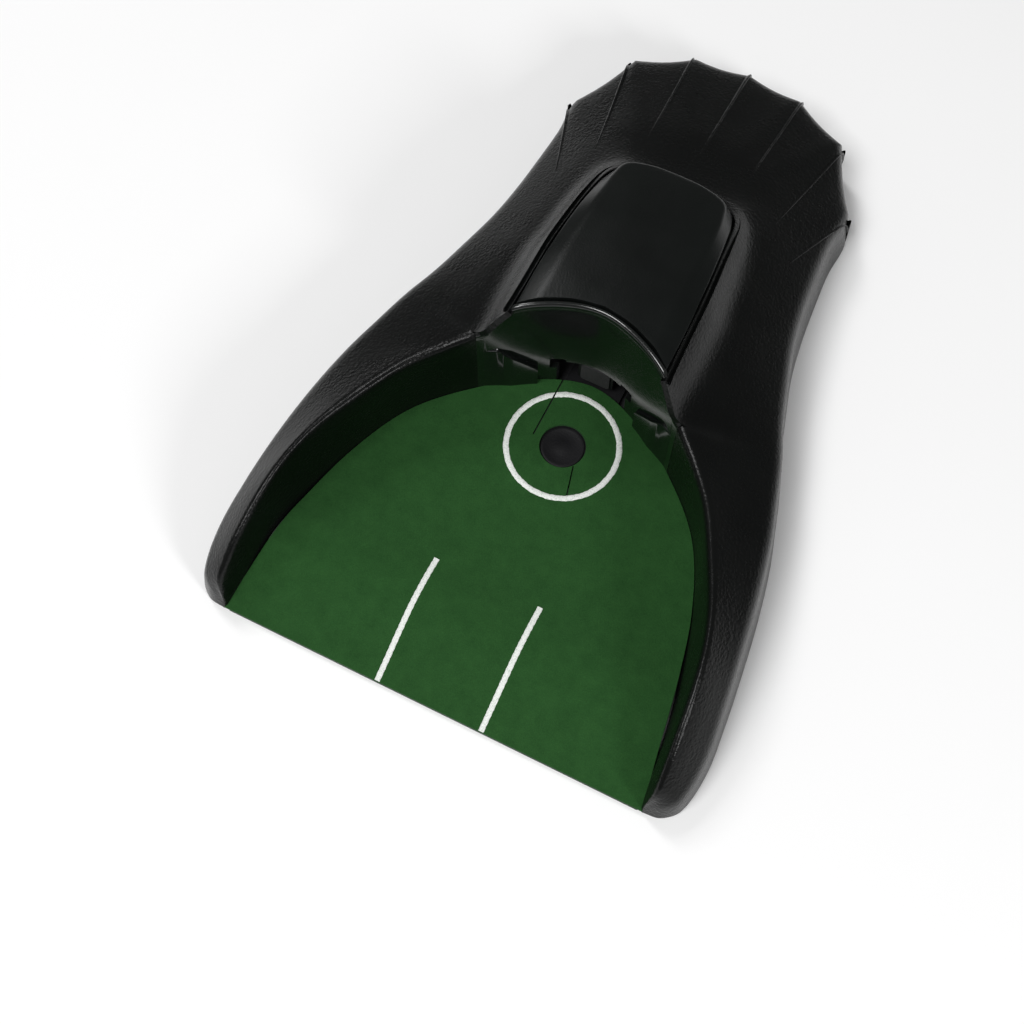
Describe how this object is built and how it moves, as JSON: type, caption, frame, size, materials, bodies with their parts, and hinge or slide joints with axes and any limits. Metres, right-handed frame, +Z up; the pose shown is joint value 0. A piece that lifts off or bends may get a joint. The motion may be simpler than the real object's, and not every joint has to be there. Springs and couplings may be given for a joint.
{
  "type": "practice putting mat",
  "caption": "Electric putting cup with a felt ramp between two wings, a trigger disc in a ringed target and a motor-driven striker in the cup wall that kicks the ball back.",
  "frame": {"origin": "on the floor under the centre of the body", "axes": "+Z up, -Y towards the mouth where the ball enters, +X to the right seen from the player"},
  "size_m": [0.195, 0.282, 0.0669],
  "materials": {
    "grained_black": "moulded leather grain",
    "satin_black": "fine satin",
    "gloss_black": "high gloss",
    "inner_black": "plain moulded",
    "green_felt": "short felt",
    "white_print": "flocked print",
    "foot_rubber": "matte",
    "screw_steel": "plated",
    "contact_metal": "nickel plated",
    "cell_jacket": "printed jacket without text",
    "white_nylon": "natural",
    "dark_plastic": "satin",
    "switch_plastic": "satin",
    "brass": "turned",
    "motor_steel": "zinc plated",
    "board_green": "solder mask",
    "wire_jacket": "pvc"
  },
  "bodies": {
    "body": {"top_shell": "grained_black", "hood_cover": "satin_black", "cup_liner": "gloss_black", "ramp_deck": "inner_black", "felt_mat": "green_felt", "ring_marking": "white_print", "line_markings": "white_print", "base_plate": "inner_black", "rubber_feet": "foot_rubber", "case_screws": "screw_steel", "hood_screws": "screw_steel", "battery_tray": "inner_black", "battery_cells": "cell_jacket", "battery_contacts": "contact_metal", "battery_springs": "contact_metal", "trigger_pin": "screw_steel", "trigger_spring": "contact_metal", "micro_switch_body": "switch_plastic", "striker_guide": "inner_black", "striker_spring": "contact_metal", "cocking_axle": "screw_steel", "reduction_axle": "screw_steel", "motor_can": "motor_steel", "motor_end_cap": "white_nylon", "gearbox_plate_left": "inner_black", "gearbox_plate_right": "inner_black", "gearbox_spacers": "brass", "gearbox_screws": "screw_steel", "control_board": "board_green", "board_components": "switch_plastic", "board_screws": "screw_steel", "wiring": "wire_jacket", "power_switch_body": "switch_plastic"},
    "trigger": {"trigger_lever": "dark_plastic", "trigger_button": "dark_plastic"},
    "switch_plunger": {"micro_switch_plunger": "white_nylon"},
    "striker": {"striker_carriage": "dark_plastic", "striker_paddle": "dark_plastic", "striker_pad": "foot_rubber"},
    "cocking_drive": {"cocking_gear": "white_nylon"},
    "reduction_drive": {"reduction_gear": "white_nylon"},
    "motor_rotor": {"motor_shaft": "screw_steel", "motor_pinion": "brass"},
    "power_knob": {"power_switch_knob": "dark_plastic"},
    "battery_door": {"battery_door": "inner_black"}
  },
  "joints": [
    {"name": "cocking_spin", "type": "hinge", "parent": "body", "child": "cocking_drive", "pos_m": [0, 0.034, 0.036], "axis": [-1, 0, 0], "range_deg": [0, 80]},
    {"name": "striker_kick", "type": "slide", "parent": "body", "child": "striker", "axis": [0, -1, 0], "range_m": [0, 0.0139]},
    {"name": "reduction_spin", "type": "hinge", "parent": "body", "child": "reduction_drive", "pos_m": [0, 0.05285, 0.02721], "axis": [-1, 0, 0], "range_deg": [-270, 0]},
    {"name": "motor_spin", "type": "hinge", "parent": "body", "child": "motor_rotor", "pos_m": [0, 0.05718, 0.01389], "axis": [-1, 0, 0], "range_deg": [0, 985]},
    {"name": "trigger_press", "type": "hinge", "parent": "body", "child": "trigger", "pos_m": [0, 0.006, 0.006], "axis": [1, 0, 0], "range_deg": [0, 2.1], "stiffness_Nm_per_rad": 0.06, "springref_deg": -2.86, "deforming": ["trigger_spring"]},
    {"name": "switch_click", "type": "slide", "parent": "body", "child": "switch_plunger", "axis": [0, 0, 1], "range_m": [0, 0.00055]},
    {"name": "power_slide", "type": "slide", "parent": "body", "child": "power_knob", "axis": [1, 0, 0], "range_m": [0, 0.0046]},
    {"name": "battery_door_lift", "type": "slide", "parent": "body", "child": "battery_door", "axis": [0, 0, -1], "range_m": [0, 0.02]}
  ],
  "couplings": [
    {"joint": "cocking_spin", "follows": "striker_kick", "rad_per_m": 100},
    {"joint": "reduction_spin", "follows": "striker_kick", "rad_per_m": -333.33},
    {"joint": "motor_spin", "follows": "striker_kick", "rad_per_m": 1222.2},
    {"joint": "switch_click", "follows": "trigger_press", "m_per_rad": 0.014}
  ]
}
